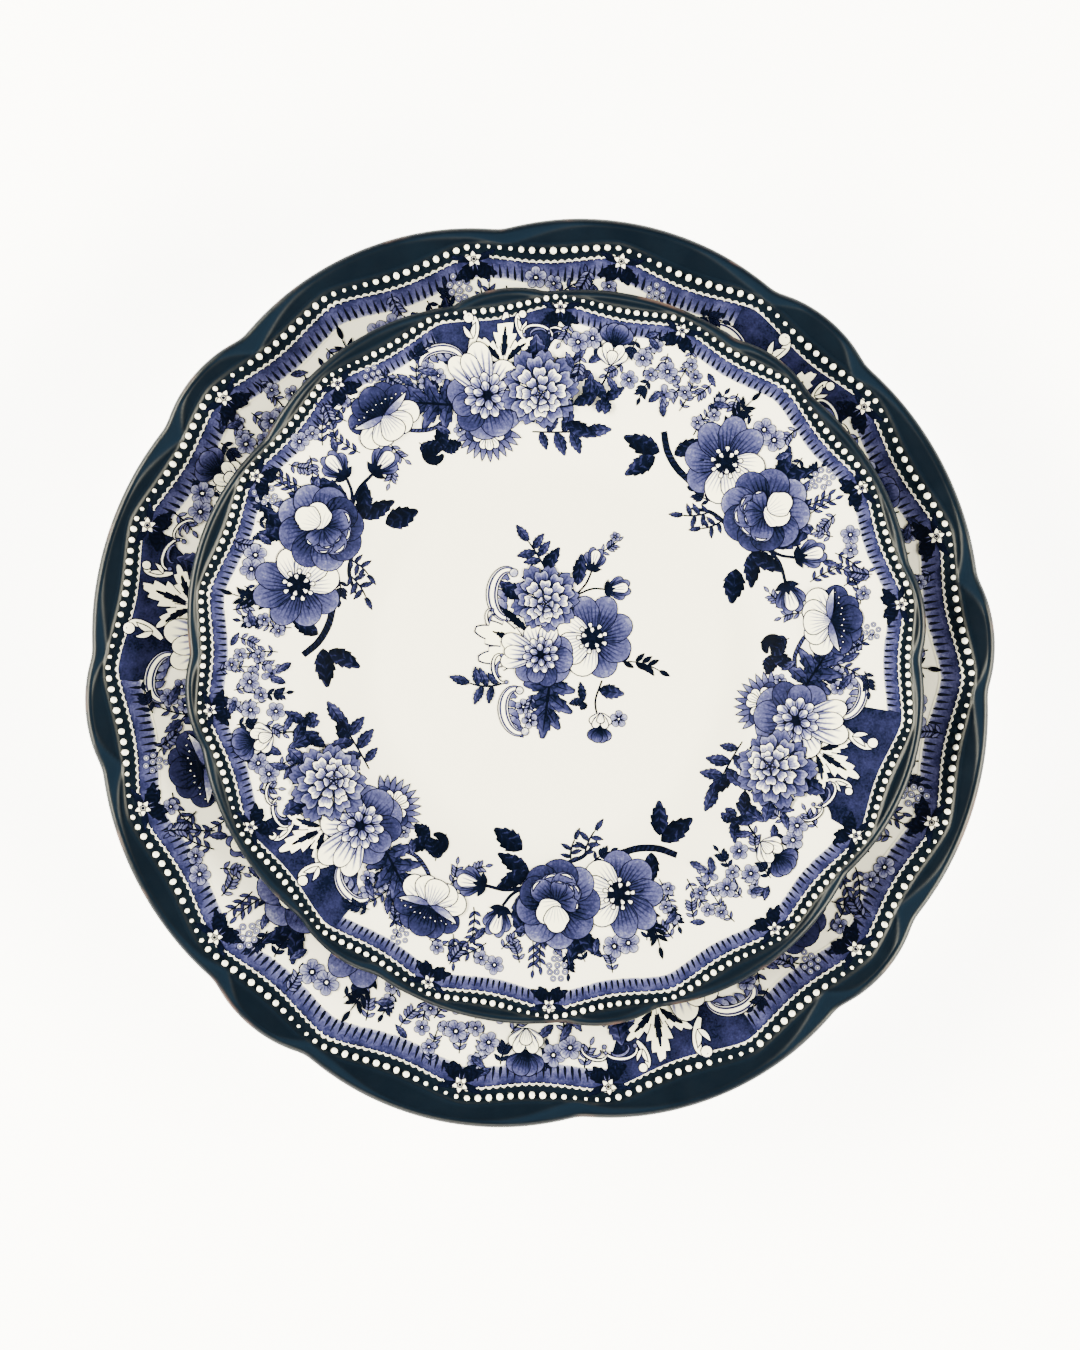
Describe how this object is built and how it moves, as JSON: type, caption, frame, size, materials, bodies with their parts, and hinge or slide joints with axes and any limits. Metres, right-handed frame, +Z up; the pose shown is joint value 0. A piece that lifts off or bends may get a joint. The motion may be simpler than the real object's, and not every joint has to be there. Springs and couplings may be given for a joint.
{
  "type": "china dinner plate with dessert plate",
  "caption": "Scalloped china dinner plate with a smaller matching plate standing in its well: dark rim, raised pearls, blue flower print on cream glaze; the small plate lifts off.",
  "frame": {"origin": "on the table under the middle of the dinner plate's foot ring", "axes": "+Z up through the plates, +Y to the top of the dinner plate as it is laid"},
  "size_m": [0.2698, 0.2694, 0.0295],
  "materials": {
    "porcelain_glaze": "gloss",
    "pearl_enamel": "gloss",
    "rim_glaze": "gloss",
    "blue_print": "gloss",
    "bare_foot": "matte"
  },
  "bodies": {
    "dinner_plate": {"dinner_plate": "porcelain_glaze", "dinner_plate_pearls": "pearl_enamel"},
    "dessert_plate": {"dessert_plate": "porcelain_glaze", "dessert_plate_pearls": "pearl_enamel"}
  },
  "joints": [
    {"name": "dessert_plate_lift", "type": "slide", "parent": "dinner_plate", "child": "dessert_plate", "axis": [0, 0, 1], "range_m": [0, 0.12]}
  ]
}
